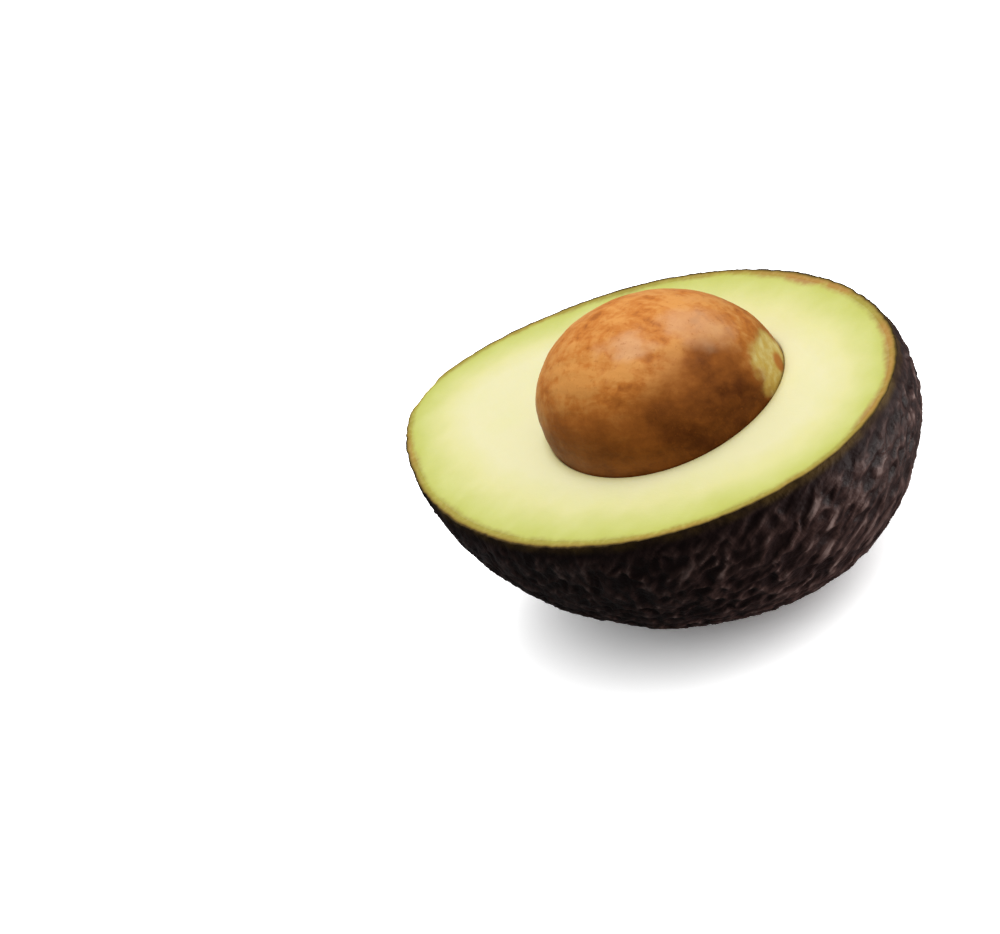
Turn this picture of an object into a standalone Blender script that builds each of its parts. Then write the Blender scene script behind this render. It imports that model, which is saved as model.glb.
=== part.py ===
"""Half an avocado, cut lengthwise, with its stone still in it.

Units are metres and +Z is up. The half rests level on a small flat spot, with its cut face up. The origin
is on the surface it rests on, under the middle of the cut face's length and width. +X points to the broad
end, and the stem end is at -X.
"""

import math

import bmesh
import bpy
from mathutils import Vector, noise

# Driving dimensions of the fruit: an oval that reaches a little further at its stem end. The depth is
# measured down from the cut face, and the ends lie BEND to one side of the middle.
OVAL_LENGTH = 0.100
STEM_REACH = 0.004
STEM_REACH_POWER = 8
WIDTH = 0.0642
DEPTH = 0.0369
BROADENING = 0.040
SHOULDER = -0.029
FULLNESS = 0.064
BEND = 0.0004

# The scar that the stem left, a shallow dimple at the tip of the stem end.
SCAR_RADIUS = 0.0042
SCAR_DEPTH = 0.0007

# The skin, and the clearance between pieces that touch.
SKIN_THICKNESS = 0.0014
GAP = 0.0003

# The pebbles of the skin, longer along the fruit than across it, and the slower waves under them.
PEBBLE_LENGTH = 0.0074
PEBBLE_WIDTH = 0.0052
PEBBLE_HEIGHT = 0.0008
PEBBLE_MEAN_SHARE = 0.75
GROOVE_SHARE = 0.50
WAVE_LENGTH = 0.014
WAVE_HEIGHT = 0.0004

# The flat spot it rests on: how much of the underside is missing there, and where the pebbles fade.
REST_FLAT_DEPTH = 0.0005
REST_CENTRE_X = 0.002
REST_SMOOTH_RADIUS = 0.0085
REST_FADE = 0.005
CUT_HEIGHT = DEPTH - REST_FLAT_DEPTH

# The stone, an egg whose broader end points the same way as the fruit's, half sunk in the flesh.
STONE_LENGTH = 0.0458
STONE_WIDTH = 0.0348
STONE_HEIGHT = 0.0348
STONE_BROADENING = 0.063
STONE_CENTRE = Vector((0.0036, 0.0012, 0.0005))
STONE_TURN = math.radians(3.2)

# Squares along each side of the cube that a round body is blown up from. They are even, so that one row
# of edges lies in the cut plane.
SKIN_SQUARES = 36
FLESH_SQUARES = 16
STONE_SQUARES = 12

SKIN_COLOR = (0.030, 0.018, 0.017, 1.0)
FLESH_COLOR = (0.72, 0.76, 0.33, 1.0)
STONE_COLOR = (0.42, 0.17, 0.045, 1.0)


def clear_scene():
    """Remove every object and the meshes, materials and collections that they leave behind."""
    for item in list(bpy.data.objects):
        bpy.data.objects.remove(item, do_unlink=True)
    for store in (bpy.data.meshes, bpy.data.materials, bpy.data.collections):
        for item in list(store):
            store.remove(item)


def new_collection(name):
    """Add a collection to the scene."""
    collection = bpy.data.collections.new(name)
    bpy.context.scene.collection.children.link(collection)
    return collection


def plain_material(name, color, roughness):
    """A Principled material with no metal in it."""
    material = bpy.data.materials.new(name)
    material.use_nodes = True
    shader = material.node_tree.nodes["Principled BSDF"]
    shader.inputs["Base Color"].default_value = color
    shader.inputs["Roughness"].default_value = roughness
    shader.inputs["Metallic"].default_value = 0.0
    material.diffuse_color = color
    return material


def smoothstep(value):
    """Rise from 0 to 1 with a level start and end."""
    clamped = min(max(value, 0.0), 1.0)
    return clamped * clamped * (3.0 - 2.0 * clamped)


def round_ball(squares):
    """A ball of radius 1 made of even squares: a subdivided cube, blown up round."""
    shape = bmesh.new()
    bmesh.ops.create_cube(shape, size=2.0)
    bmesh.ops.subdivide_edges(shape, edges=shape.edges[:], cuts=squares - 1, use_grid_fill=True)
    for vertex in shape.verts:
        evened = Vector(math.tan(value * math.pi / 4) for value in vertex.co)
        vertex.co = evened.normalized()
    return shape


def fruit_point(direction, inset):
    """The fruit's smooth surface in a direction from the middle of the cut face, or a layer inside it."""
    swell = 1.0 + BROADENING * direction.x + SHOULDER * direction.x**2
    across = math.hypot(direction.y, direction.z)
    steepness = abs(direction.z) / across if across > 0.0 else 0.0
    fuller = 1.0 + 4.0 * FULLNESS * steepness * (1.0 - steepness)
    stem_reach = STEM_REACH * max(-direction.x, 0.0) ** STEM_REACH_POWER
    return Vector((
        (OVAL_LENGTH / 2 - inset) * direction.x - stem_reach,
        (WIDTH / 2 - inset) * swell * fuller * direction.y + BEND * direction.x**2,
        (DEPTH - inset) * swell * direction.z,
    ))


def stone_point(direction, swollen):
    """The stone's surface in a direction from its own centre, or the wall of the seat around it."""
    swell = 1.0 + STONE_BROADENING * direction.x
    return Vector((
        (STONE_LENGTH / 2 + swollen) * direction.x,
        (STONE_WIDTH / 2 + swollen) * swell * direction.y,
        (STONE_HEIGHT / 2 + swollen) * swell * direction.z,
    ))


def scar_relief(point):
    """How far the stem's scar lies below the smooth fruit at a point."""
    from_tip = (point - Vector((-OVAL_LENGTH / 2 - STEM_REACH, BEND, 0.0))).length
    return -SCAR_DEPTH * smoothstep(2.0 * (1.0 - from_tip / SCAR_RADIUS))


def pebble_relief(point):
    """How far the skin stands out of the smooth fruit at a point: round pebbles with grooves between."""
    stretched = Vector((
        point.x / PEBBLE_LENGTH,
        point.y / PEBBLE_WIDTH,
        point.z / PEBBLE_WIDTH,
    ))
    nearest, second = noise.voronoi(stretched)[0][:2]
    crown = smoothstep((second - nearest) / GROOVE_SHARE)
    pebble = PEBBLE_HEIGHT * (crown - PEBBLE_MEAN_SHARE)
    wave = WAVE_HEIGHT * noise.noise(point / WAVE_LENGTH)
    from_rest = math.hypot(point.x - REST_CENTRE_X, point.y)
    if point.z > -DEPTH / 2:
        return pebble + wave
    return (pebble + wave) * smoothstep((from_rest - REST_SMOOTH_RADIUS) / REST_FADE)


def roughen(shape):
    """Raise the pebbles along the surface's own direction, and keep the cut edge in its plane."""
    shape.normal_update()
    lifts = [vertex.normal * (pebble_relief(vertex.co) + scar_relief(vertex.co)) for vertex in shape.verts]
    for vertex, lift in zip(shape.verts, lifts):
        on_cut = abs(vertex.co.z) < 1e-7
        vertex.co += lift
        if on_cut:
            vertex.co.z = 0.0


def cut_flat(shape, height, outwards):
    """Cut everything beyond a level plane away, and close the cut with one flat face."""
    cut = bmesh.ops.bisect_plane(
        shape,
        geom=shape.verts[:] + shape.edges[:] + shape.faces[:],
        dist=1e-6,
        plane_co=(0.0, 0.0, height),
        plane_no=(0.0, 0.0, outwards),
        clear_outer=True,
    )
    edges = [item for item in cut["geom_cut"] if isinstance(item, bmesh.types.BMEdge)]
    bmesh.ops.edgeloop_fill(shape, edges=edges)
    bmesh.ops.recalc_face_normals(shape, faces=shape.faces[:])


def add_piece(name, shape, collection, parent, material=None):
    """Turn a shape into an object with smooth sides and sharp cut edges."""
    mesh = bpy.data.meshes.new(name)
    shape.to_mesh(mesh)
    shape.free()
    mesh.shade_smooth()
    mesh.set_sharp_from_angle(angle=math.radians(50))
    if material is not None:
        mesh.materials.append(material)
    piece = bpy.data.objects.new(name, mesh)
    collection.objects.link(piece)
    piece.parent = parent
    return piece


def cut_out(piece, cutter):
    """Take the cutter's shape out of a piece."""
    cutter.hide_render = True
    cutter.display_type = "WIRE"
    hollow = piece.modifiers.new(cutter.name, "BOOLEAN")
    hollow.operation = "DIFFERENCE"
    hollow.solver = "EXACT"
    hollow.object = cutter


def fruit_ball(squares, inset):
    """A whole round body with the fruit's form, or that of a layer inside it."""
    shape = round_ball(squares)
    for vertex in shape.verts:
        vertex.co = fruit_point(vertex.co.copy(), inset)
    return shape


def stone_ball(swollen=0.0):
    """The stone's form about its own centre, or a slightly larger one for its seat."""
    shape = round_ball(STONE_SQUARES)
    for vertex in shape.verts:
        vertex.co = stone_point(vertex.co.copy(), swollen)
    return shape


def make_skin(parts, cutters, cut_face):
    """The skin: a pebbled cup with a plain cut rim, flat where the half rests."""
    shape = fruit_ball(SKIN_SQUARES, 0.0)
    roughen(shape)
    cut_flat(shape, 0.0, 1.0)
    cut_flat(shape, -CUT_HEIGHT, -1.0)
    skin = add_piece("skin", shape, parts, cut_face, plain_material("skin", SKIN_COLOR, 0.55))
    hollow = add_piece("skin_hollow", fruit_ball(FLESH_SQUARES, SKIN_THICKNESS), cutters, cut_face)
    cut_out(skin, hollow)
    return skin


def make_flesh(parts, cutters, cut_face, stone):
    """The flesh: it fills the skin up to the flat cut face, and has a seat for the stone."""
    shape = fruit_ball(FLESH_SQUARES, SKIN_THICKNESS + GAP)
    cut_flat(shape, 0.0, 1.0)
    flesh = add_piece("flesh", shape, parts, cut_face, plain_material("flesh", FLESH_COLOR, 0.45))
    seat = add_piece("stone_seat", stone_ball(GAP), cutters, cut_face)
    seat.location = stone.location
    seat.rotation_euler = stone.rotation_euler
    cut_out(flesh, seat)
    return flesh


def make_stone(parts, cut_face):
    """The stone: a smooth egg that lies along the fruit, its lower half in the flesh."""
    stone = add_piece("stone", stone_ball(), parts, cut_face, plain_material("stone", STONE_COLOR, 0.5))
    stone.location = STONE_CENTRE
    stone.rotation_euler = (0.0, 0.0, STONE_TURN)
    return stone


def main():
    """Make the half avocado."""
    clear_scene()
    parts = new_collection("avocado_half")
    cutters = new_collection("avocado_half_cutters")
    cut_face = bpy.data.objects.new("cut_face", None)
    cut_face.location = ((STEM_REACH - SCAR_DEPTH) / 2, 0.0, CUT_HEIGHT)
    cut_face.empty_display_size = OVAL_LENGTH / 4
    parts.objects.link(cut_face)
    stone = make_stone(parts, cut_face)
    make_flesh(parts, cutters, cut_face, stone)
    make_skin(parts, cutters, cut_face)
    bpy.context.view_layer.update()


main()
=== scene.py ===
"""The looks of half an avocado with its stone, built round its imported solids.

The skin, the flesh and the stone each replace their plain solid with a fine mesh of the same form. Lengths
inside the sub-assemblies are millimetres from the middle of the cut face, with +X to the broad end and +Z
up, and each finished mesh is scaled and moved to its place in metres.
"""

import logging
import math
from collections.abc import Callable, Iterator
from contextlib import contextmanager
from dataclasses import dataclass, field
from enum import Enum
from functools import cached_property, partial, reduce

import bpy
import numpy as np
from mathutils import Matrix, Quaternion, Vector, noise


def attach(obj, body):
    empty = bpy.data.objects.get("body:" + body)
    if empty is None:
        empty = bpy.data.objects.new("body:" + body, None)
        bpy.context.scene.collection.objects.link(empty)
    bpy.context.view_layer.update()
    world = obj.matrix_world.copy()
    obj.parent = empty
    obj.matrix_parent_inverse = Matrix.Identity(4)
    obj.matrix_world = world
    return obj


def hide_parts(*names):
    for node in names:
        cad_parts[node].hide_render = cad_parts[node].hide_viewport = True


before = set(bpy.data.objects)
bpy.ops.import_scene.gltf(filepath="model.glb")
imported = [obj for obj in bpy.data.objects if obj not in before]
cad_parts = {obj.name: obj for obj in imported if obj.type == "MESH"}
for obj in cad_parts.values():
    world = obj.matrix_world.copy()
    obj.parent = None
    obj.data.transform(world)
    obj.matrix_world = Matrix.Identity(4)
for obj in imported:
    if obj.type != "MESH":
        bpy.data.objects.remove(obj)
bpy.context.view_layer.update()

LOG = logging.getLogger("avocado")
METRES = 0.001
TINY = 1e-6
ON_PLANE = 1e-5
SMOOTH_ANGLE = math.radians(65)

Color = tuple[float, float, float, float]
Triple = tuple[float, float, float]
Stops = tuple[tuple[float, Color], ...]
Points = np.ndarray
Material = bpy.types.Material
Piece = bpy.types.Object
Socket = bpy.types.NodeSocket
Feed = Socket | float | tuple[float, ...]


def smoothstep(values: Points) -> Points:
    """Rise from 0 to 1 with a level start and end.

    Args:
        values: Numbers of any range.

    Returns:
        The eased numbers, between 0 and 1.
    """
    clamped = np.clip(values, 0.0, 1.0)
    return clamped * clamped * (3.0 - 2.0 * clamped)


def unit(vectors: Points) -> Points:
    """The same directions with length 1, one a row."""
    return vectors / np.maximum(np.linalg.norm(vectors, axis=1, keepdims=True), TINY)


def flattened(vectors: Points) -> Points:
    """The level part of some vectors, one a row."""
    return vectors * (1.0, 1.0, 0.0)


@dataclass(frozen=True)
class FruitForm:
    """The fruit's smooth form, an oval that reaches a little further at its stem end. Millimetres."""

    oval_length: float = 100.0
    stem_reach: float = 4.0
    stem_reach_power: int = 8
    width: float = 64.2
    depth: float = 36.9
    broadening: float = 0.040
    shoulder: float = -0.029
    fullness: float = 0.064
    bend: float = 0.4
    scar_depth: float = 0.7
    scar_radius: float = 4.2
    rest_flat_depth: float = 0.5
    rest_centre_x: float = 2.0
    rest_smooth_radius: float = 8.5
    rest_fade: float = 5.0
    skin_thickness: float = 1.4

    @property
    def cut_height(self) -> float:
        """How high the cut face lies above the surface that the half rests on."""
        return self.depth - self.rest_flat_depth

    @property
    def place(self) -> Vector:
        """The middle of the cut face, in the frame of the whole part."""
        return Vector(((self.stem_reach - self.scar_depth) / 2, 0.0, self.cut_height))

    def surface(self, directions: Points, inset: float | Points = 0.0) -> Points:
        """The smooth surface in some directions from the middle of the cut face.

        Args:
            directions: Unit vectors, one a row.
            inset: How far inside the outer surface the layer lies.

        Returns:
            Points on that layer, one a row.
        """
        along, across, up = directions.T
        swell = 1.0 + self.broadening * along + self.shoulder * along**2
        ring = np.maximum(np.hypot(across, up), TINY)
        steepness = np.abs(up) / ring
        fuller = 1.0 + 4.0 * self.fullness * steepness * (1.0 - steepness)
        reach = self.stem_reach * np.maximum(-along, 0.0) ** self.stem_reach_power
        return np.column_stack((
            (self.oval_length / 2 - inset) * along - reach,
            (self.width / 2 - inset) * swell * fuller * across + self.bend * along**2,
            (self.depth - inset) * swell * up,
        ))

    @property
    def stem_tip(self) -> Vector:
        """The tip of the stem end, on the rim of the cut face."""
        return Vector((-self.oval_length / 2 - self.stem_reach, self.bend, 0.0))


@dataclass(frozen=True)
class StoneForm:
    """The stone's egg shape and its place in the fruit. Millimetres."""

    length: float = 45.8
    width: float = 34.8
    height: float = 34.8
    broadening: float = 0.063
    centre: Triple = (3.6, 1.2, 0.5)
    turn: float = math.radians(3.2)

    def surface(self, directions: Points, swollen: float = 0.0) -> Points:
        """The stone's surface in some directions from its own centre.

        Args:
            directions: Unit vectors in the stone's own turned frame, one a row.
            swollen: How far outside the stone the layer lies.

        Returns:
            Points in the fruit's frame, one a row.
        """
        swell = 1.0 + self.broadening * directions[:, 0]
        own = np.column_stack((
            (self.length / 2 + swollen) * directions[:, 0],
            (self.width / 2 + swollen) * swell * directions[:, 1],
            (self.height / 2 + swollen) * swell * directions[:, 2],
        ))
        cosine, sine = math.cos(self.turn), math.sin(self.turn)
        turned = np.column_stack((
            cosine * own[:, 0] - sine * own[:, 1],
            sine * own[:, 0] + cosine * own[:, 1],
            own[:, 2],
        ))
        return turned + np.array(self.centre)


@dataclass(frozen=True)
class Browning:
    """Places along the rim where the flesh has browned. Each is x, y and a radius in millimetres."""

    places: tuple[Triple, ...] = (
        (14.8, 29.6, 6.0), (23.4, 27.4, 5.0), (42.0, 17.2, 7.0), (47.5, 10.5, 8.0), (50.2, 3.2, 7.0),
    )
    fullness: float = 1.15

    def share(self, points: Points) -> Points:
        """How browned the flesh is.

        Args:
            points: Places on the cut face, one a row.

        Returns:
            0 where it is fresh, 1 where it has browned.
        """
        shares = [smoothstep(self.fullness - np.hypot(points[:, 0] - x, points[:, 1] - y) / radius)
                  for x, y, radius in self.places]
        return np.max(shares, axis=0)


FRUIT = FruitForm()
STONE = StoneForm()
BROWNING = Browning()


class Element(Enum):
    """What is selected by in edit mode."""

    VERTICES = "VERT"
    EDGES = "EDGE"
    FACES = "FACE"


def pick(piece: Piece, *others: Piece) -> None:
    """Select some objects alone, the first of them as the active one.

    Args:
        piece: The object that becomes the active one.
        *others: The other objects.
    """
    bpy.ops.object.select_all(action="DESELECT")
    for chosen in (piece, *others):
        chosen.select_set(True)
    bpy.context.view_layer.objects.active = piece


@contextmanager
def editing(piece: Piece, element: Element = Element.VERTICES) -> Iterator[None]:
    """Work on one piece in edit mode, with nothing selected at first.

    Args:
        piece: The mesh object to edit.
        element: What is selected by.

    Returns:
        A context that leaves edit mode at its end.
    """
    pick(piece)
    bpy.ops.object.mode_set(mode="EDIT")
    bpy.ops.mesh.select_mode(type=element.value)
    bpy.ops.mesh.select_all(action="DESELECT")
    yield
    bpy.ops.object.mode_set(mode="OBJECT")


def fetch(store: bpy.types.bpy_prop_collection, name: str, width: int = 1) -> Points:
    """Read one property of every item in a mesh.

    Args:
        store: The mesh's vertices, or the values of an attribute.
        name: The property.
        width: How many numbers it has.

    Returns:
        The numbers, one item a row where there are several.
    """
    values = np.empty(len(store) * width, np.float32)
    store.foreach_get(name, values)
    return (values.reshape(-1, width) if width > 1 else values).astype(float)


def read_points(piece: Piece) -> Points:
    """The places of a mesh's vertices, one a row."""
    return fetch(piece.data.vertices, "co", 3)


def read_normals(piece: Piece) -> Points:
    """The directions that a mesh's vertices face, one a row."""
    return fetch(piece.data.vertex_normals, "vector", 3)


def read_vectors(piece: Piece, name: str) -> Points:
    """The vectors of a point attribute, one a row."""
    return fetch(piece.data.attributes[name].data, "vector", 3)


def read_numbers(piece: Piece, name: str) -> Points:
    """The numbers of a point attribute."""
    return fetch(piece.data.attributes[name].data, "value")


def move_points(piece: Piece, values: Points) -> None:
    """Put a mesh's vertices at new places."""
    piece.data.vertices.foreach_set("co", values.astype(np.float32).ravel())
    piece.data.update()


def store_vectors(piece: Piece, name: str, values: Points) -> None:
    """Keep a vector at each vertex, in a point attribute that new vertices inherit."""
    layer = piece.data.attributes.get(name) or piece.data.attributes.new(name, "FLOAT_VECTOR", "POINT")
    layer.data.foreach_set("vector", values.astype(np.float32).ravel())


def store_numbers(piece: Piece, **numbers: Points) -> None:
    """Keep numbers at each vertex, in point attributes that materials can read.

    Args:
        piece: The mesh object.
        **numbers: The values of each attribute, by its name.
    """
    for name, values in numbers.items():
        layer = piece.data.attributes.get(name) or piece.data.attributes.new(name, "FLOAT", "POINT")
        layer.data.foreach_set("value", values.astype(np.float32))


def selected_vertices(piece: Piece) -> Points:
    """Which vertices were selected when edit mode was last left.

    Args:
        piece: The mesh object.

    Returns:
        True or false for each vertex.
    """
    flags = np.empty(len(piece.data.vertices), bool)
    piece.data.vertices.foreach_get("select", flags)
    return flags


def blown_cube(name: str, coarse: int, fine: int = 1) -> Piece:
    """A ball of radius 1 with even squares, and the attribute direction on its vertices.

    Args:
        name: The piece's name.
        coarse: How many squares the cube's side is divided in first.
        fine: How many squares each of those is divided in.

    Returns:
        The new object.
    """
    bpy.ops.object.select_all(action="DESELECT")
    bpy.ops.mesh.primitive_cube_add(size=2.0)
    piece = bpy.context.active_object
    piece.name = name
    piece.data.name = name
    with editing(piece):
        bpy.ops.mesh.select_all(action="SELECT")
        bpy.ops.mesh.subdivide(number_cuts=coarse - 1)
        if fine > 1:
            bpy.ops.mesh.subdivide(number_cuts=fine - 1)
    directions = unit(np.tan(read_points(piece) * math.pi / 4))
    move_points(piece, directions)
    store_vectors(piece, "direction", directions)
    return piece


def keep_below(piece: Piece, height: float) -> None:
    """Cut away everything above a level plane, and leave the cut open.

    Args:
        piece: The mesh object.
        height: Where the plane lies.
    """
    with editing(piece):
        bpy.ops.mesh.select_all(action="SELECT")
        bpy.ops.mesh.bisect(
            plane_co=(0, 0, height), plane_no=(0, 0, 1), clear_outer=True, threshold=ON_PLANE)


def select_rim() -> None:
    """In edit mode by edges, with nothing selected, select the open edge of a mesh."""
    bpy.ops.mesh.select_non_manifold(
        extend=False, use_wire=False, use_boundary=True, use_multi_face=False,
        use_non_contiguous=False, use_verts=False,
    )


def grow_ring(piece: Piece, place: Callable[[Points], Points]) -> None:
    """Extrude the open edge of a mesh and put the new ring where a rule says.

    Args:
        piece: A mesh with one open edge.
        place: Gives the ring's places from the directions of its vertices.
    """
    with editing(piece, Element.EDGES):
        select_rim()
        bpy.ops.mesh.extrude_region_move(TRANSFORM_OT_translate={"value": (0, 0, 0)})
    ring = selected_vertices(piece)
    points = read_points(piece)
    points[ring] = place(read_vectors(piece, "direction")[ring])
    move_points(piece, points)


def finish_piece(piece: Piece, node: str, material: Material) -> None:
    """Put a finished mesh in its place, dress it and let it stand for its plain solid.

    Args:
        piece: The fine mesh, in the fruit's millimetres.
        node: The plain solid that it replaces.
        material: Its finish.
    """
    with editing(piece, Element.FACES):
        bpy.ops.mesh.select_all(action="SELECT")
        bpy.ops.mesh.normals_make_consistent(inside=False)
    move_points(piece, (read_points(piece) + np.array(FRUIT.place)) * METRES)
    pick(piece)
    bpy.ops.object.shade_smooth_by_angle(angle=SMOOTH_ANGLE)
    piece.data.materials.clear()
    piece.data.materials.append(material)
    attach(piece, "root")
    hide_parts(node)


class Sum(Enum):
    """What is done with two numbers in a material."""

    PLUS = "ADD"
    MINUS = "SUBTRACT"
    TIMES = "MULTIPLY"
    OVER = "DIVIDE"
    LARGER = "MAXIMUM"


@dataclass(frozen=True)
class Clouds:
    """Soft noise in a material. Its blots are about size millimetres across.

    Detail and rough say how many finer layers there are and how strong they are, shift tells one noise apart
    from another, stretch makes the blots longer along each axis, and warp bends them.
    """

    size: float
    detail: float = 3.0
    rough: float = 0.5
    shift: float = 0.0
    stretch: Triple = (1.0, 1.0, 1.0)
    warp: float = 0.0


@dataclass(frozen=True)
class Rise:
    """A smooth change from low to high, as a value goes from start to end."""

    start: float
    end: float
    low: float = 0.0
    high: float = 1.0


@dataclass
class Bench:
    """The nodes of a material or a world, added one at a time."""

    block: Material | bpy.types.World

    def __post_init__(self) -> None:
        """Switch the nodes on."""
        self.block.use_nodes = True

    def feed(self, node: bpy.types.Node, inputs: dict[str | int, Feed]) -> None:
        """Feed a node's inputs.

        Args:
            node: The node.
            inputs: For each input, a socket to link or a plain number, vector or colour.
        """
        for place, value in inputs.items():
            if isinstance(value, Socket):
                self.block.node_tree.links.new(value, node.inputs[place])
            else:
                node.inputs[place].default_value = value

    def node(self, kind: str, inputs: dict[str | int, Feed], **settings: str) -> bpy.types.Node:
        """Add a node.

        Args:
            kind: Its type.
            inputs: What feeds its inputs.
            **settings: Its own settings.

        Returns:
            The new node.
        """
        made = self.block.node_tree.nodes.new(kind)
        for name, value in settings.items():
            setattr(made, name, value)
        self.feed(made, inputs)
        return made

    @cached_property
    def place(self) -> Socket:
        """The pattern space, which is the part's own space in millimetres.

        Returns:
            The vector socket.
        """
        metres = self.node("ShaderNodeTexCoord", {}).outputs["Object"]
        scale = (1 / METRES,) * 3
        return self.node("ShaderNodeMapping", {"Vector": metres, "Scale": scale}).outputs["Vector"]

    def attribute(self, name: str) -> Socket:
        """A number that the piece carries at its vertices."""
        return self.node("ShaderNodeAttribute", {}, attribute_name=name).outputs["Fac"]

    def stretched(self, space: Socket, stretch: Triple, shift: float) -> Socket:
        """A pattern space made longer or shorter along its axes, and shifted.

        Args:
            space: The space to start from.
            stretch: How much longer a pattern gets along each axis.
            shift: A distance that tells this pattern apart from others.

        Returns:
            The vector socket to feed a texture with.
        """
        scale = tuple(1 / value for value in stretch)
        inputs = {"Vector": space, "Scale": scale, "Location": (shift,) * 3}
        return self.node("ShaderNodeMapping", inputs).outputs["Vector"]

    def laid(self, axis: Triple, stretch: float, shift: float) -> Socket:
        """The pattern space made longer along one direction.

        Args:
            axis: The direction that figures are stretched along.
            stretch: How much longer they get.
            shift: A distance that tells this pattern apart from others.

        Returns:
            The vector socket to feed a texture with.
        """
        turn = Vector(axis).rotation_difference(Vector((1, 0, 0))).to_euler()
        turned = self.node("ShaderNodeMapping", {"Vector": self.place, "Rotation": turn})
        return self.stretched(turned.outputs["Vector"], (stretch, 1.0, 1.0), shift)

    def clouds(self, look: Clouds, space: Socket | None = None) -> Socket:
        """Soft noise over the piece.

        Args:
            look: How the noise is drawn.
            space: A pattern space to use in place of the stretched and shifted one.

        Returns:
            The noise, about 0.5 on average.
        """
        return self.node("ShaderNodeTexNoise", {
            "Vector": space or self.stretched(self.place, look.stretch, look.shift),
            "Scale": 1 / look.size, "Detail": look.detail, "Roughness": look.rough,
            "Distortion": look.warp,
        }).outputs["Fac"]

    def cells(self, size: float, shift: float) -> Socket:
        """Small round hollows over the piece.

        Args:
            size: How far apart they are, in millimetres.
            shift: A distance that tells this pattern apart from others.

        Returns:
            The distance to the nearest hollow's middle, in shares of their size.
        """
        space = self.stretched(self.place, (1.0, 1.0, 1.0), shift)
        return self.node("ShaderNodeTexVoronoi", {"Vector": space, "Scale": 1 / size}).outputs["Distance"]

    def reckon(self, operation: Sum, first: Feed, second: Feed) -> Socket:
        """Work out a number from two others."""
        return self.node("ShaderNodeMath", {0: first, 1: second}, operation=operation.value).outputs["Value"]

    def swing(self, noise_value: Socket, reach: float) -> Socket:
        """Noise centred on 0 in place of 0.5, and scaled."""
        return self.reckon(Sum.TIMES, self.reckon(Sum.MINUS, noise_value, 0.5), reach)

    def total(self, *parts: Socket | tuple[Socket, float]) -> Socket:
        """Add numbers up.

        Args:
            *parts: Sockets, or pairs of a socket and the number that it is multiplied by first.

        Returns:
            The sum's socket.
        """
        terms = [self.reckon(Sum.TIMES, *part) if isinstance(part, tuple) else part for part in parts]
        return reduce(partial(self.reckon, Sum.PLUS), terms)

    def rise(self, value: Socket, change: Rise) -> Socket:
        """A number that changes smoothly as a value does.

        Args:
            value: The value's socket.
            change: Where the number changes, and from what to what.

        Returns:
            The number's socket.
        """
        return self.node("ShaderNodeMapRange", {
            "Value": value, "From Min": change.start, "From Max": change.end,
            "To Min": change.low, "To Max": change.high,
        }, interpolation_type="SMOOTHSTEP").outputs["Result"]

    def ramp(self, value: Socket, stops: Stops, reach: float = 1.0) -> Socket:
        """A colour that changes through some stops as a value grows.

        Args:
            value: The number that picks the colour.
            stops: A value and a colour for each stop, in rising order.
            reach: The value at which the ramp ends.

        Returns:
            The colour socket.
        """
        band = self.node("ShaderNodeValToRGB", {"Fac": self.reckon(Sum.OVER, value, reach)})
        elements = band.color_ramp.elements
        while len(elements) < len(stops):
            elements.new(1.0)
        for element, (position, color) in zip(elements, stops):
            element.position = position / reach
            element.color = color
        return band.outputs["Color"]

    def layers(self, base: Feed, *laid: tuple[Feed, Feed]) -> Socket:
        """Colours laid over each other.

        Args:
            base: The lowest colour.
            *laid: For each colour above it, how much of it shows, from 0 to 1, and the colour.

        Returns:
            The mixed colour socket.
        """
        for share, color in laid:
            mixer = self.node("ShaderNodeMix", {}, data_type="RGBA")
            self.feed(mixer, {0: share, 6: base, 7: color})
            base = mixer.outputs[2]
        return base

    def bump(self, height: Socket, millimetres: float, **below: Socket) -> Socket:
        """Fine relief, on top of any relief below it.

        Args:
            height: The relief's pattern.
            millimetres: How far a pattern of 1 stands out.
            **below: As Normal, the socket of the relief that it goes on top of.

        Returns:
            The socket of the direction that the surface faces.
        """
        inputs = {"Height": height, "Distance": millimetres * METRES, **below}
        return self.node("ShaderNodeBump", inputs).outputs["Normal"]

    def dress(self, **sockets: Feed) -> Material:
        """Feed the Principled shader.

        Args:
            **sockets: What feeds each of its sockets, by its name with underscores for spaces.

        Returns:
            The finished material.
        """
        for name, value in sockets.items():
            title = name.replace("_", " ").title().replace("Ior", "IOR")
            self.feed(self.block.node_tree.nodes["Principled BSDF"], {title: value})
        return self.block


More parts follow.
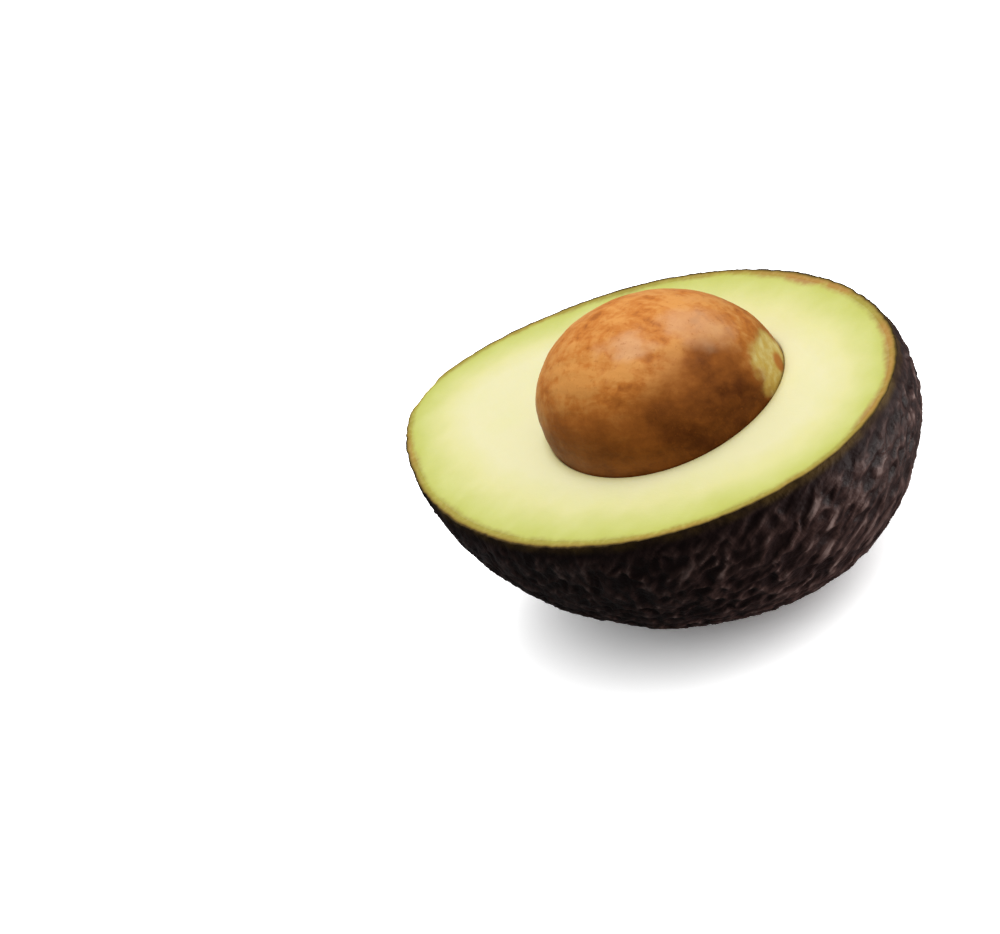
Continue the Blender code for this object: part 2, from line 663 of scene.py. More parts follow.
@dataclass(frozen=True)
class CutFaceColors:
    """The colours across the cut face, by the distance inside the fruit's outline in millimetres."""

    dark_edge: Color = (0.066, 0.042, 0.010, 1.0)
    rind_brown: Color = (0.180, 0.115, 0.020, 1.0)
    rind_pale: Color = (0.470, 0.350, 0.130, 1.0)
    rind_hues: Stops = (
        (0.44, (0.290, 0.245, 0.046, 1.0)),
        (0.60, (0.300, 0.210, 0.041, 1.0)),
        (0.80, (0.345, 0.190, 0.046, 1.0)),
    )
    pulp_depths: Stops = (
        (1.4, (0.425, 0.445, 0.090, 1.0)),
        (4.0, (0.485, 0.500, 0.145, 1.0)),
        (9.0, (0.600, 0.575, 0.258, 1.0)),
        (14.0, (0.640, 0.606, 0.350, 1.0)),
    )
    pulp_reach: float = 20.0
    slow: Clouds = Clouds(7.0, detail=2.0, shift=31.0)
    slow_wander: float = 2.0
    fine: Clouds = Clouds(0.9, shift=57.0)
    fine_wander: float = 0.8
    hues: Clouds = Clouds(16.0, detail=1.0, shift=83.0)
    blotches: Clouds = Clouds(6.0, shift=101.0)
    blotch_wander: float = 5.0
    browned_depth: float = 0.40
    browned_hue: float = 0.34
    edge_wander: float = 0.22
    flecks: Rise = Rise(0.45, 0.70, high=0.25)
    brown: Rise = Rise(0.12, 0.45)
    rind: Rise = Rise(0.22, 0.85)
    pulp: Rise = Rise(0.70, 2.30)

    def across(self, bench: Bench, inset: Socket) -> Socket:
        """The cut face's colour at a distance inside the outline.

        Args:
            bench: The material being made.
            inset: The distance inside the outline.

        Returns:
            The colour socket.
        """
        fine = bench.clouds(self.fine)
        wander = bench.total(
            bench.swing(bench.clouds(self.slow), self.slow_wander), bench.swing(fine, self.fine_wander))
        browned = bench.attribute("browned")
        hue = bench.total(bench.clouds(self.hues), (browned, self.browned_hue))
        ripeness = bench.total(inset, bench.swing(bench.clouds(self.blotches), self.blotch_wander))
        depth = bench.total(inset, wander, (browned, -self.browned_depth))
        body = bench.layers(
            bench.ramp(hue, self.rind_hues), (bench.rise(fine, self.flecks), self.rind_pale),
            (bench.rise(depth, self.pulp), bench.ramp(ripeness, self.pulp_depths, self.pulp_reach)))
        near_edge = bench.total(inset, (wander, self.edge_wander))
        return bench.layers(
            self.dark_edge, (bench.rise(near_edge, self.brown), self.rind_brown),
            (bench.rise(near_edge, self.rind), body))


@dataclass(frozen=True)
class SkinFinish:
    """Dark pebbled rind: purple-brown crowns, grooves made nearly black by painted shade over its own dark
    colour, painted highlights in light strokes on the crests, and an olive line below the cut.
    """

    # Painted shade: the nearly black groove colour darkens the hollows of the relief, over the rind's own
    # dark colour.
    groove: Color = (0.0066, 0.0025, 0.0022, 1.0)
    crown: Color = (0.0290, 0.0145, 0.0122, 1.0)
    # Painted highlight, partly lighter worn skin: light grey strokes along the crests.
    worn_and_highlit: Color = (0.112, 0.077, 0.069, 1.0)
    olive: Color = (0.036, 0.0200, 0.0040, 1.0)
    scar: Color = (0.120, 0.070, 0.035, 1.0)
    specular: float = 0.075
    lay: Triple = (0.62, 0.50, 0.60)
    strokes: Clouds = Clouds(1.45, detail=2.5, shift=29.0, warp=0.25)
    stroke_stretch: float = 4.4
    stroke_share: float = 1.5
    crest_share: float = 0.6
    crowns: Rise = Rise(0.70, 1.25)
    wear_and_highlight: Rise = Rise(1.05, 1.50)
    wear_and_highlight_patches: Clouds = Clouds(6.0, rough=0.6, shift=5.0)
    wear_and_highlight_in_patches: Rise = Rise(0.30, 0.62)
    wear_and_highlight_on_crests: Rise = Rise(0.78, 1.02, high=0.4)
    wear_and_highlight_below: Rise = Rise(0.8, 6.0, low=0.10)
    dark_at_rim: Rise = Rise(5.0, 0.3, high=0.8)
    rough_at_rim: Rise = Rise(5.0, 0.3, high=0.25)
    mottling: Clouds = Clouds(5.0, detail=4.0, rough=0.6, shift=11.0)
    olive_below: Rise = Rise(1.9, 0.2)
    olive_in_patches: Rise = Rise(0.34, 0.62, low=0.25)
    roughness: Rise = Rise(0.3, 0.7, 0.58, 0.42)
    cut: Rise = Rise(0.02, 0.12)
    hide: Rise = Rise(0.2, 0.0)
    grain: Clouds = Clouds(0.5, detail=4.0, rough=0.65, shift=3.0)
    grain_height: float = 0.08
    pit_size: float = 0.8
    pit_shift: float = 19.0
    furrow_height: float = 0.27

    def material(self) -> Material:
        """Make the material.

        Returns:
            The finished material.
        """
        bench = Bench(bpy.data.materials.new("avocado_skin"))
        crest, inset, below = map(bench.attribute, ("crest", "inset", "below_cut"))
        mottling = bench.clouds(self.mottling)
        strokes = bench.clouds(self.strokes, bench.laid(self.lay, self.stroke_stretch, self.strokes.shift))
        height = bench.total((crest, self.crest_share), (strokes, self.stroke_share))
        # Painted highlights on the high parts and crests of the relief, in patches and partly lighter worn
        # skin, fewer close under the cut.
        patches = bench.rise(bench.clouds(self.wear_and_highlight_patches), self.wear_and_highlight_in_patches)
        wear_and_highlight = bench.reckon(Sum.TIMES, bench.rise(height, self.wear_and_highlight), patches)
        wear_and_highlight = bench.reckon(Sum.LARGER, wear_and_highlight, bench.rise(crest, self.wear_and_highlight_on_crests))
        wear_and_highlight = bench.reckon(Sum.TIMES, wear_and_highlight, bench.rise(below, self.wear_and_highlight_below))
        olive = bench.reckon(
            Sum.TIMES, bench.rise(below, self.olive_below), bench.rise(mottling, self.olive_in_patches))
        # Darker low in the relief and lighter high in it: painted shade in the grooves and painted
        # highlights on the crests, over patchy lighter worn skin.
        color = bench.layers(
            self.groove, (bench.rise(height, self.crowns), self.crown),
            (bench.rise(below, self.dark_at_rim), self.groove), (wear_and_highlight, self.worn_and_highlit), (olive, self.olive),
            (bench.attribute("scar"), self.scar),
            (bench.rise(inset, self.cut), CutFaceColors().across(bench, inset)))
        on_hide = bench.rise(inset, self.hide)
        grain = bench.total(bench.clouds(self.grain), bench.cells(self.pit_size, self.pit_shift))
        furrows = bench.bump(bench.reckon(Sum.TIMES, strokes, on_hide), self.furrow_height)
        return bench.dress(
            base_color=color, specular_ior_level=self.specular,
            roughness=bench.total(
                bench.rise(mottling, self.roughness), bench.rise(below, self.rough_at_rim)),
            normal=bench.bump(bench.reckon(Sum.TIMES, grain, on_hide), self.grain_height, Normal=furrows),
        )


@dataclass(frozen=True)
class FleshFinish:
    """Ripe flesh: lime beside the skin, cream towards the stone with painted shade right beside it, smooth
    and slightly moist.
    """

    # Painted shade: the flesh darker and yellower within about 1.6 mm of the stone.
    shade_by_stone: Color = (0.560, 0.500, 0.230, 1.0)
    by_stone: Rise = Rise(1.6, 0.0, high=0.8)
    blush: Color = (0.600, 0.600, 0.260, 1.0)
    blushes: Clouds = Clouds(9.0, shift=70.0)
    blush_in_patches: Rise = Rise(0.45, 0.75, high=0.25)
    blush_inset: Rise = Rise(1.4, 4.0)
    fibres: Clouds = Clouds(0.7, rough=0.6, shift=9.0, stretch=(3.0, 1.0, 1.0))
    fibre_height: float = 0.02
    smears: Clouds = Clouds(3.0, shift=15.0)
    smear_height: float = 0.05
    roughness: Rise = Rise(0.3, 0.7, 0.37, 0.50)
    specular: float = 0.25
    scatter: Rise = Rise(1.4, 3.0, high=0.15)
    scatter_depth: float = 0.8
    scatter_reach: Triple = (1.0, 0.8, 0.4)

    def material(self) -> Material:
        """Make the material.

        Returns:
            The finished material.
        """
        bench = Bench(bpy.data.materials.new("avocado_flesh"))
        inset = bench.attribute("inset")
        blushed = bench.reckon(
            Sum.TIMES, bench.rise(bench.clouds(self.blushes), self.blush_in_patches),
            bench.rise(inset, self.blush_inset))
        color = bench.layers(
            CutFaceColors().across(bench, inset),
            # Painted shade round the stone.
            (bench.rise(bench.attribute("from_stone"), self.by_stone), self.shade_by_stone),
            (blushed, self.blush))
        smears = bench.clouds(self.smears)
        fibres = bench.bump(bench.clouds(self.fibres), self.fibre_height)
        return bench.dress(
            base_color=color, roughness=bench.rise(smears, self.roughness),
            specular_ior_level=self.specular, normal=bench.bump(smears, self.smear_height, Normal=fibres),
            subsurface_weight=bench.rise(inset, self.scatter), subsurface_radius=self.scatter_reach,
            subsurface_scale=self.scatter_depth * METRES,
        )


@dataclass(frozen=True)
class StoneFinish:
    """A fresh stone: orange-brown coat with redder blots and a pale bare tip, painted shade over some of its
    own darker red-brown on the front and lower flank, and a painted highlight on its top.
    """

    coat: Stops = (
        (0.26, (0.290, 0.082, 0.010, 1.0)),
        (0.42, (0.480, 0.160, 0.024, 1.0)),
        (0.58, (0.590, 0.255, 0.060, 1.0)),
    )
    fleck: Color = (0.290, 0.082, 0.010, 1.0)
    # Painted shade: the coat goes to deep red and then dark where the shade is strong.
    deep_red: Color = (0.300, 0.090, 0.012, 1.0)
    dark: Color = (0.085, 0.019, 0.001, 1.0)
    # Painted highlight, partly the coat's own pale bloom: a pale pinkish colour where the stone faces the
    # light.
    bloom: Color = (0.625, 0.345, 0.170, 1.0)
    bare: Color = (0.570, 0.385, 0.085, 1.0)
    bare_pale: Color = (0.680, 0.555, 0.220, 1.0)
    dot: Color = (0.460, 0.160, 0.025, 1.0)
    blots: Clouds = Clouds(9.0, detail=5.0, rough=0.6, shift=21.0, stretch=(1.6, 1.0, 1.0), warp=0.4)
    streaks: Clouds = Clouds(1.6, detail=4.0, rough=0.6, shift=43.0, stretch=(4.0, 1.0, 1.0))
    specks: Clouds = Clouds(0.8, rough=0.7, shift=64.0)
    mottle: Clouds = Clouds(2.2, rough=0.6, shift=77.0, warp=0.7)
    finer_share: float = 0.42
    shade_swing: float = -0.9
    # How the painted shade first reddens and then darkens the coat.
    reddened: Rise = Rise(0.0, 0.6)
    darkened: Rise = Rise(0.4, 1.0)
    flecks: Rise = Rise(0.57, 0.72, high=0.40)
    paler: Rise = Rise(0.36, 0.74)
    speck_relief: float = 0.5
    relief_height: float = 0.06
    roughness: Rise = Rise(0.35, 0.65, 0.56, 0.42)
    specular: float = 0.10

    def material(self) -> Material:
        """Make the material.

        Returns:
            The finished material.
        """
        bench = Bench(bpy.data.materials.new("avocado_stone"))
        blots, streaks, specks, mottle = map(
            bench.clouds, (self.blots, self.streaks, self.specks, self.mottle))
        finer = bench.reckon(Sum.MINUS, bench.total(streaks, mottle), 1.0)
        tone = bench.total(blots, (finer, self.finer_share))
        # Painted shade from the stored shade attribute, made uneven by the coat's own tone.
        uneven = bench.reckon(Sum.PLUS, bench.swing(tone, self.shade_swing), 1.0)
        shade = bench.reckon(Sum.TIMES, bench.attribute("shade"), uneven)
        bare = bench.layers(
            self.bare, (bench.rise(streaks, self.paler), self.bare_pale), (bench.attribute("dot"), self.dot))
        color = bench.layers(
            bench.ramp(tone, self.coat), (bench.rise(shade, self.reddened), self.deep_red),
            # Painted highlight, partly the coat's own pale bloom, on the top of the stone.
            (bench.rise(shade, self.darkened), self.dark), (bench.attribute("bloom"), self.bloom),
            (bench.rise(specks, self.flecks), self.fleck), (bench.attribute("bare"), bare))
        return bench.dress(
            base_color=color, roughness=bench.rise(blots, self.roughness),
            specular_ior_level=self.specular,
            normal=bench.bump(bench.total(streaks, (specks, self.speck_relief)), self.relief_height),
        )


@dataclass(frozen=True)
class Figure:
    """One kind of figure in the skin's relief. Millimetres.

    Height is how far it stands out, level the value that lies on the smooth fruit, and share how much it
    counts for the crests.
    """

    size: float
    height: float
    level: float = 0.0
    share: float = 0.0


@dataclass
class Skin:
    """The rind: a thin cup, pebbled outside, with a plain cut rim. Millimetres."""

    coarse: int = 40
    fine: int = 4
    lining: int = 40
    lining_top: float = -1.5
    pebbles: Figure = Figure(3.4, 0.22, level=0.6, share=0.40)
    pebble_stretch: float = 1.6
    pebble_edge: float = 0.75
    bend_size: float = 4.5
    bend_reach: float = 2.0
    wrinkles: Figure = Figure(2.0, 0.29, level=0.35, share=0.45)
    creases: Figure = Figure(1.15, 0.06, share=0.15)
    wrinkle_stretch: float = 3.4
    wrinkle_bend_size: float = 1.8
    wrinkle_bend_reach: float = 0.7
    wrinkle_steepness: float = 3.6
    waves: Figure = Figure(12.0, 0.45)
    calm_at_rim: float = 0.42
    calm_depth: float = 4.0
    edge_drop: float = 0.22
    rim_steps: tuple[tuple[float, float], ...] = (
        (0.06, 0.10), (0.16, 0.02), (0.30, 0.0), (0.50, 0.0), (0.75, 0.0), (1.0, 0.0),
        (FRUIT.skin_thickness, 0.01), (FRUIT.skin_thickness + 0.25, 0.06),
    )
    seed: int = 3
    finish: SkinFinish = SkinFinish()
    rim_lean: Points = field(init=False)
    rim_out: Points = field(init=False)

    def laid(self, point: Vector, stretch: float) -> Vector:
        """A place in a pattern whose figures are stretched along the lay."""
        axis = Vector(self.finish.lay).normalized()
        return point - axis * point.dot(axis) * (1.0 - 1.0 / stretch)

    def crown(self, point: Vector) -> float:
        """How near a place is to the top of a pebble.

        Args:
            point: A place on the smooth fruit.

        Returns:
            0 in the grooves, 1 on the crowns.
        """
        bent = point + noise.noise_vector(point / self.bend_size) * self.bend_reach
        nearest, second = noise.voronoi(self.laid(bent, self.pebble_stretch) / self.pebbles.size)[0][:2]
        return min((second - nearest) / self.pebble_edge, 1.0)

    def wrinkle(self, point: Vector, size: float) -> float:
        """How high the leathery ridges over the pebbles are.

        Args:
            point: A place on the smooth fruit.
            size: How large the ridges are.

        Returns:
            1 on their tops, and about -1 at the lowest.
        """
        reach = size * self.wrinkle_bend_reach
        bent = point + noise.noise_vector(point / (size * self.wrinkle_bend_size)) * reach
        ridge = abs(noise.noise(self.laid(bent, self.wrinkle_stretch) / size))
        return 1.0 - ridge * self.wrinkle_steepness

    def relief(self, points: Points) -> tuple[Points, Points]:
        """How far the skin stands out of the smooth fruit.

        Args:
            points: Places on the smooth fruit, one a row.

        Returns:
            The heights in millimetres, and how near each place is to the top of a crest.
        """
        values = np.array([
            (self.crown(point), self.wrinkle(point, self.wrinkles.size),
             self.wrinkle(point, self.creases.size), noise.noise(point / self.waves.size))
            for point in map(Vector, points)
        ])
        figures = (self.pebbles, self.wrinkles, self.creases, self.waves)
        heights = (values - [figure.level for figure in figures]) @ [figure.height for figure in figures]
        crests = values @ [figure.share for figure in figures]
        calm = self.calm_at_rim + (1.0 - self.calm_at_rim) * smoothstep(-points[:, 2] / self.calm_depth)
        return heights * calm, crests

    def fade_at_rest(self, points: Points) -> Points:
        """How much relief the skin has.

        Args:
            points: Places on the smooth fruit, one a row.

        Returns:
            1 over most of the skin, and 0 on the flat spot that the half rests on.
        """
        from_rest = np.hypot(points[:, 0] - FRUIT.rest_centre_x, points[:, 1])
        fade = smoothstep((from_rest - FRUIT.rest_smooth_radius) / FRUIT.rest_fade)
        return np.where(points[:, 2] > -FRUIT.depth / 2, 1.0, fade)

    def outside(self) -> Piece:
        """The outer half surface with its pebbles, open at the cut.

        Returns:
            The new object.
        """
        piece = blown_cube("avocado_skin", self.coarse, self.fine)
        move_points(piece, FRUIT.surface(read_vectors(piece, "direction")))
        store_vectors(piece, "outwards", read_normals(piece))
        keep_below(piece, 0.0)
        points = read_points(piece)
        noise.seed_set(self.seed)
        heights, crests = self.relief(points)
        heights *= self.fade_at_rest(points)
        from_tip = np.linalg.norm(points - np.array(FRUIT.stem_tip), axis=1)
        scar = smoothstep(2.0 * (1.0 - from_tip / FRUIT.scar_radius))
        heights -= FRUIT.scar_depth * scar
        store_numbers(piece, height=heights, crest=crests, scar=scar, below_cut=-points[:, 2],
                      inset=np.zeros(len(points)))
        raised = points + read_vectors(piece, "outwards") * heights[:, None]
        raised[:, 2] = np.maximum(raised[:, 2], -FRUIT.cut_height)
        raised[np.abs(points[:, 2]) < TINY, 2] = -self.edge_drop
        move_points(piece, raised)
        return piece

    def remember_rim(self, piece: Piece) -> None:
        """Keep the height and direction of the relief along the outer edge, in the order of its vertices.

        Args:
            piece: The skin, open at the cut.
        """
        with editing(piece, Element.EDGES):
            select_rim()
        ring = selected_vertices(piece)
        self.rim_lean = read_numbers(piece, "height")[ring]
        self.rim_out = flattened(read_vectors(piece, "outwards")[ring])

    def rim_ring(self, directions: Points, inset: float, drop: float) -> Points:
        """One ring of the cut rim, which follows the pebbles less and less towards the inside.

        Args:
            directions: The directions of its vertices from the middle of the fruit.
            inset: How far inside the smooth outline it lies.
            drop: How far below the cut it lies.

        Returns:
            The ring's points.
        """
        ring = FRUIT.surface(unit(flattened(directions)), inset)
        ring += self.rim_lean[:, None] * self.rim_out * max(1.0 - inset / FRUIT.skin_thickness, 0.0)
        ring[:, 2] = -drop
        return ring

    def rim(self, piece: Piece) -> None:
        """Grow the cut rim inwards from the outer edge, ring by ring, and start down its inner wall.

        Args:
            piece: The skin, open at the cut.
        """
        for inset, drop in self.rim_steps:
            grow_ring(piece, partial(self.rim_ring, inset=inset, drop=drop))
            insets = read_numbers(piece, "inset")
            insets[selected_vertices(piece)] = inset
            store_numbers(piece, inset=insets)

    def line(self, piece: Piece) -> None:
        """Close the cup with a smooth inner wall that meets the rim.

        Args:
            piece: The skin with its cut rim.
        """
        lining = blown_cube("avocado_skin_lining", self.lining)
        move_points(lining, FRUIT.surface(read_vectors(lining, "direction"), FRUIT.skin_thickness))
        keep_below(lining, self.lining_top)
        points = read_points(lining)
        store_vectors(lining, "outwards", points)
        for name in ("height", "crest", "scar", "below_cut", "inset"):
            store_numbers(lining, **{name: np.full(len(points), FRUIT.skin_thickness)})
        pick(piece, lining)
        bpy.ops.object.join()
        with editing(piece, Element.EDGES):
            select_rim()
            bpy.ops.mesh.bridge_edge_loops()

    def build(self) -> Piece:
        """Model the skin and dress it.

        Returns:
            The finished piece.
        """
        piece = self.outside()
        self.remember_rim(piece)
        self.rim(piece)
        self.line(piece)
        store_numbers(piece, browned=BROWNING.share(read_points(piece)))
        finish_piece(piece, "skin", self.finish.material())
        return piece


@dataclass
class Flesh:
    """The pulp: it fills the skin up to the cut face and holds the stone in its seat. Millimetres."""

    squares: int = 64
    clearance: float = 0.02
    rings: int = 34
    crowding: float = 0.12
    seat_gap: float = 0.03
    lip_radius: float = 0.38
    lip_rings: int = 5
    seat_rings: int = 16
    rim_reach: float = 2.0
    finish: FleshFinish = FleshFinish()

    @property
    def inside(self) -> float:
        """How far inside the fruit's outline the flesh starts."""
        return FRUIT.skin_thickness + self.clearance

    def outside(self) -> Piece:
        """The hidden lower surface, just inside the skin, open at the cut.

        Returns:
            The new object.
        """
        piece = blown_cube("avocado_flesh", self.squares)
        move_points(piece, FRUIT.surface(read_vectors(piece, "direction"), self.inside))
        keep_below(piece, 0.0)
        return piece

    def seat_ring(self, directions: Points, drop: float, swollen: float) -> Points:
        """A level ring round the stone.

        Args:
            directions: The outline's directions from the middle of the fruit.
            drop: How far the ring lies below the cut face.
            swollen: How far outside the stone it lies.

        Returns:
            The ring's points.
        """
        outline = FRUIT.surface(directions) - np.array(STONE.centre)
        angle = np.arctan2(outline[:, 1] / STONE.width, outline[:, 0] / STONE.length) - STONE.turn
        rise = -(drop + STONE.centre[2]) / (STONE.height / 2 + swollen)
        level = math.sqrt(max(1.0 - rise * rise, 0.0))
        ring = np.column_stack((level * np.cos(angle), level * np.sin(angle), np.full(len(angle), rise)))
        points = STONE.surface(ring, swollen)
        points[:, 2] = -drop
        return points

    def face_ring(self, directions: Points, share: float) -> Points:
        """A ring of the flat face.

        Args:
            directions: The outline's directions from the middle of the fruit.
            share: How far in it lies, from 0 at the skin to 1 at the lip of the seat.

        Returns:
            The ring's points.
        """
        outer = FRUIT.surface(directions, self.inside)
        inner = self.seat_ring(directions, 0.0, self.seat_gap + self.lip_radius)
        ring = outer * (1.0 - share) + inner * share
        ring[:, 2] = 0.0
        return ring

    def cut_face(self, piece: Piece) -> None:
        """Grow the flat face from the outline to the lip of the seat, with its rings closer at both.

        Args:
            piece: The flesh, open at the cut.
        """
        for step in range(1, self.rings + 1):
            share = step / self.rings
            eased = share + self.crowding * math.sin(2 * math.pi * share) / math.pi
            grow_ring(piece, partial(self.face_ring, share=eased))

    def seat(self, piece: Piece) -> None:
        """Round the lip over and follow the stone down to the bottom of its seat.

        Args:
            piece: The flesh with its cut face.
        """
        steps = []
        for step in range(1, self.lip_rings + 1):
            turn = step / self.lip_rings * math.pi / 2
            drop, out = 1.0 - math.cos(turn), 1.0 - math.sin(turn)
            steps.append((self.lip_radius * drop, self.lip_radius * out))
        wall = STONE.height / 2 + self.seat_gap
        start = math.asin((self.lip_radius + STONE.centre[2]) / wall)
        for step in range(1, self.seat_rings):
            slope = start + (math.pi / 2 - start) * step / self.seat_rings
            steps.append((wall * math.sin(slope) - STONE.centre[2], 0.0))
        for drop, out in steps:
            grow_ring(piece, partial(self.seat_ring, drop=drop, swollen=self.seat_gap + out))
        with editing(piece, Element.EDGES):
            select_rim()
            bpy.ops.mesh.edge_face_add()
            bpy.ops.mesh.poke()

    def mark(self, piece: Piece) -> None:
        """Store how far each place is from the fruit's outline and from the stone.

        Args:
            piece: The whole flesh.
        """
        points = read_points(piece)
        centred = points - np.array(STONE.centre)
        size = np.linalg.norm(centred / (STONE.length / 2, STONE.width / 2, STONE.height / 2), axis=1)
        gap = (size - 1.0) * np.linalg.norm(centred, axis=1) / np.maximum(size, TINY)
        store_numbers(piece, inset=self.inset(points, read_vectors(piece, "direction")),
                      from_stone=np.maximum(gap, 0.0), browned=BROWNING.share(points))

    def inset(self, points: Points, directions: Points) -> Points:
        """How far inside the fruit's outline some places on the cut face lie.

        Args:
            points: The places, one a row.
            directions: The directions of the places on the outline that they were grown from.

        Returns:
            The distance in millimetres. At the skin it is the same as on the skin's rim, and further in
            it is the distance straight to the outline.
        """
        flat = unit(flattened(directions))
        outline = FRUIT.surface(flat)
        step = np.linalg.norm(outline - FRUIT.surface(flat, 1.0), axis=1)
        along = np.linalg.norm((points - outline)[:, :2], axis=1) / np.maximum(step, TINY)
        normal = unit(flat / (FRUIT.oval_length / 2, FRUIT.width / 2, 1.0))
        slant = np.sum(unit(outline) * normal, axis=1)
        near_skin = np.exp(-np.maximum(along - FRUIT.skin_thickness, 0.0) / self.rim_reach)
        return along * (slant + (1.0 - slant) * near_skin)

    def build(self) -> Piece:
        """Model the flesh and dress it.

        Returns:
            The finished piece.
        """
        piece = self.outside()
        self.cut_face(piece)
        self.seat(piece)
        self.mark(piece)
        finish_piece(piece, "flesh", self.finish.material())
        return piece


@dataclass(frozen=True)
class Patch:
    """A patch on the stone, round a direction from its middle, with a soft or frayed edge. Degrees."""

    direction: Triple
    angle: float
    fade: float
    soft: float = 0.0
    frayed: float = 0.0
    strength: float = 1.0

    def share(self, directions: Points, soft: Points, frayed: Points) -> Points:
        """How strongly the patch shows.

        Args:
            directions: Unit vectors from the stone's middle, one a row.
            soft: Slow noise in each direction.
            frayed: Finer noise in each direction.

        Returns:
            0 outside it, and its strength inside.
        """
        axis = np.array(self.direction) / np.linalg.norm(self.direction)
        away = np.degrees(np.arccos(np.clip(directions @ axis, -1.0, 1.0)))
        reach = self.angle + self.soft * soft + self.frayed * frayed
        return smoothstep((reach - away) / self.fade) * self.strength


@dataclass
class Stone:
    """The stone: a whole egg with faint ripples and a bare pale tip, with painted shade on its front and
    lower flank and a painted highlight on its top.

    Lengths are millimetres. Each kind of noise is given by its size on a stone of radius 1, a distance that
    tells it apart from others, and how far it swings.
    """

    squares: int = 72
    fraying: Triple = (0.22, 3.0, 6.0)
    softening: Triple = (0.5, 9.0, 14.0)
    ripples: Triple = (0.28, 17.0, 0.16)
    ripple_stretch: float = 2.0
    roughening: tuple[float, float, int] = (0.8, 2.0, 4)
    bare: Patch = Patch((0.935, 0.345, 0.07), 20.0, 7.0, frayed=0.7)
    dot: Patch = Patch((0.92, 0.39, 0.04), 6.5, 3.0)
    # Painted shade, partly the stone's own darker red-brown: a patch on the front of the broad end and a
    # brow above it.
    flank: Patch = Patch((0.81, -0.44, 0.38), 40.0, 26.0, soft=0.6, strength=0.50)
    brow: Patch = Patch((0.84, -0.23, 0.47), 21.0, 18.0, soft=0.5, strength=0.58)
    # Painted highlights, partly the coat's own pale bloom: pale patches on the top of the stone where it
    # faces the light.
    bloom: Patch = Patch((0.33, -0.32, 0.89), 13.0, 13.0, soft=0.8, frayed=1.0, strength=0.65)
    pale: Patch = Patch((0.64, 0.16, 0.75), 18.0, 18.0, soft=0.8, frayed=1.0, strength=0.6)
    # Painted shade towards the bottom of the stone, tilted to its front.
    low_tilt: float = 0.3
    low_start: float = 0.70
    low_wander: float = 1 / 120
    low_fade: float = 0.8
    low_strength: float = 0.67
    bare_depth: float = 0.12
    finish: StoneFinish = StoneFinish()

    def ragged(self, directions: Points, size: float, shift: float, reach: float) -> Points:
        """Noise over the stone.

        Args:
            directions: Unit vectors from its middle, one a row.
            size: How large its figures are, for a stone of radius 1.
            shift: A distance that tells this noise apart from others.
            reach: How far it swings, about.

        Returns:
            A number in each direction, about 0 on average.
        """
        away = Vector((shift, shift, shift))
        return reach * np.array([noise.fractal(Vector(row) / size + away, *self.roughening)
                                 for row in directions])

    def build(self) -> Piece:
        """Model the stone and dress it.

        Returns:
            The finished piece.
        """
        piece = blown_cube("avocado_stone", self.squares)
        directions = read_vectors(piece, "direction")
        move_points(piece, STONE.surface(directions))
        frayed = self.ragged(directions, *self.fraying)
        soft = self.ragged(directions, *self.softening)
        bare, dot, flank, brow, bloom, pale = (
            patch.share(directions, soft, frayed)
            for patch in (self.bare, self.dot, self.flank, self.brow, self.bloom, self.pale))
        ripples = self.ragged(directions / (self.ripple_stretch, 1.0, 1.0), *self.ripples)
        heights = ripples - self.bare_depth * bare
        move_points(piece, read_points(piece) + read_normals(piece) * heights[:, None])
        # Painted shade: darker towards the bottom of the stone and on its front flank, stored as shade.
        upward = directions[:, 2] + self.low_tilt * directions[:, 1]
        low = smoothstep((self.low_start - upward + soft * self.low_wander) / self.low_fade)
        store_numbers(piece, bare=bare, dot=dot,
                      shade=1.0 - (1.0 - flank) * (1.0 - low * self.low_strength) * (1.0 - brow),
                      # Painted highlight, partly the coat's own pale bloom, from both pale patches.
                      bloom=1.0 - (1.0 - bloom) * (1.0 - pale))
        finish_piece(piece, "stone", self.finish.material())
        return piece


@dataclass(frozen=True)
class FloorFinish:
    """Plain pale paper."""

    color: Color = (0.10, 0.10, 0.10, 1.0)
    shown: Color = (1.2, 1.2, 1.2, 1.0)

    def material(self) -> Material:
        """Make the material. It shows brighter than the light it throws back, as overexposed paper does.

        Returns:
            The finished material.
        """
        bench = Bench(bpy.data.materials.new("pale_floor"))
        lighting, seen = (
            bench.node("ShaderNodeBsdfDiffuse", {"Color": color}).outputs["BSDF"]
            for color in (self.color, self.shown))
        camera = bench.node("ShaderNodeLightPath", {}).outputs["Is Camera Ray"]
        chosen = bench.node("ShaderNodeMixShader", {0: camera, 1: lighting, 2: seen})
        output = bench.block.node_tree.nodes["Material Output"]
        bench.feed(output, {"Surface": chosen.outputs["Shader"]})
        return bench.block


@dataclass(frozen=True)
class Sun:
    """A distant light: its name, how bright it is, the angle that it fills and where it shines from."""

    name: str
    strength: float
    spread: float
    direction: Triple

    def shine_on(self, *pieces: Piece) -> Piece:
        """Let the light fall on some pieces alone, as a photographer's flags do.

        Args:
            *pieces: The pieces that it lights.

        Returns:
            The light's object.
        """
        lamp = bpy.data.lights.new(self.name, "SUN")
        lamp.energy = self.strength
        lamp.angle = self.spread
        light = bpy.data.objects.new(self.name, lamp)
        light.rotation_mode = "QUATERNION"
        light.rotation_quaternion = (-Vector(self.direction)).to_track_quat("-Z", "Y")
        bpy.context.scene.collection.objects.link(light)
        lit = bpy.data.collections.new(self.name)
        for piece in pieces:
            lit.objects.link(piece)
        light.light_linking.receiver_collection = lit
        return light


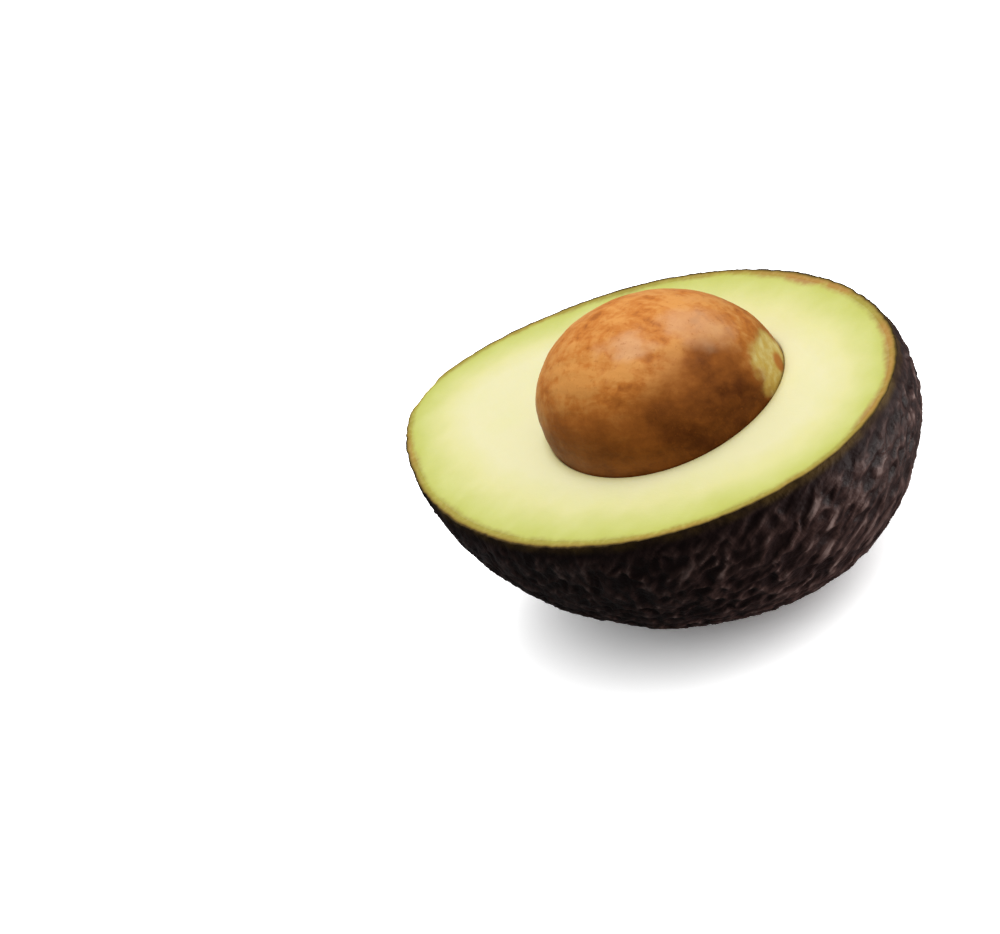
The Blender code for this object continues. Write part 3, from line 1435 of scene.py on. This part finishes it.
@dataclass
class Studio:
    """The floor, the light and the camera. The camera's lengths are millimetres."""

    floor_side: float = 12.0
    walls: Color = (1.0, 1.0, 1.0, 1.0)
    sky: Rise = Rise(-0.7, 0.9, 0.08, 0.75)
    bright_side: Triple = (0.35, 0.50, 0.79)
    key: Sun = Sun("key", 2.65, math.radians(50), (-0.12, 0.15, 0.95))
    paper: Sun = Sun("paper", 7.6, math.radians(120), (0.70, 0.35, 0.65))
    bounce: Sun = Sun("bounce", 7.8, math.radians(45), (0.84, 0.40, -0.42))
    azimuth: float = math.radians(57.93)
    elevation: float = math.radians(29.47)
    roll: float = math.radians(-34.76)
    distance: float = 719.8
    aim: Triple = (-15.05, -19.48, 4.27)
    lens: float = 162.0
    nearest: float = 10.0

    def floor(self) -> None:
        """Lay the pale floor under the half, and light it alone so that it goes white close to the fruit."""
        bpy.ops.object.select_all(action="DESELECT")
        bpy.ops.mesh.primitive_plane_add(size=self.floor_side)
        floor = bpy.context.active_object
        floor.name = "floor"
        floor.data.materials.append(FloorFinish().material())
        self.paper.shine_on(floor)

    def shine(self, skin: Piece, *others: Piece) -> None:
        """Light the half softly from above, and its skin from the bright paper beyond the broad end.

        Args:
            skin: The skin.
            *others: The other pieces.
        """
        key = self.key.shine_on(skin, *others)
        bounce = self.bounce.shine_on(skin)
        bounce.light_linking.blocker_collection = key.light_linking.receiver_collection

    def room(self) -> None:
        """Set a white room, brighter above and behind than before the fruit."""
        bench = Bench(bpy.data.worlds.new("white_room"))
        way = bench.node("ShaderNodeTexCoord", {}).outputs["Generated"]
        bright = Vector(self.bright_side).normalized()
        facing = bench.node("ShaderNodeVectorMath", {}, operation="DOT_PRODUCT")
        bench.feed(facing, {0: way, 1: bright})
        light = bench.rise(facing.outputs["Value"], self.sky)
        camera = bench.node("ShaderNodeLightPath", {}).outputs["Is Camera Ray"]
        strength = bench.node("ShaderNodeMix", {0: camera, 2: light, 3: 1.0}, data_type="FLOAT")
        walls = bench.block.node_tree.nodes["Background"]
        bench.feed(walls, {"Color": self.walls, "Strength": strength.outputs[0]})
        bpy.context.scene.world = bench.block

    def camera(self) -> None:
        """Put the camera where the photograph was taken from, turned as it was."""
        flat = math.cos(self.elevation)
        back = Vector((
            math.sin(self.azimuth) * flat, -math.cos(self.azimuth) * flat, math.sin(self.elevation),
        ))
        data = bpy.data.cameras.new("camera")
        data.lens = self.lens
        data.clip_start = self.nearest * METRES
        camera = bpy.data.objects.new("camera", data)
        camera.location = (FRUIT.place + Vector(self.aim) + back * self.distance) * METRES
        camera.rotation_mode = "QUATERNION"
        camera.rotation_quaternion = (-back).to_track_quat("-Z", "Y") @ Quaternion((0, 0, 1), self.roll)
        bpy.context.scene.collection.objects.link(camera)
        bpy.context.scene.camera = camera

    def build(self) -> None:
        """Set the floor, the room, the camera and the plain view of colours."""
        self.floor()
        self.room()
        self.camera()
        bpy.context.scene.view_settings.view_transform = "Standard"


def main() -> None:
    """Build the stage and each piece of the half, and report each piece."""
    logging.basicConfig(level=logging.INFO, format="%(name)s %(message)s")
    studio = Studio()
    studio.build()
    pieces = []
    for assembly in (Skin(), Flesh(), Stone()):
        pieces.append(assembly.build())
        LOG.info("%s: %d vertices", pieces[-1].name, len(pieces[-1].data.vertices))
    studio.shine(*pieces)


if __name__ == "__main__":
    main()
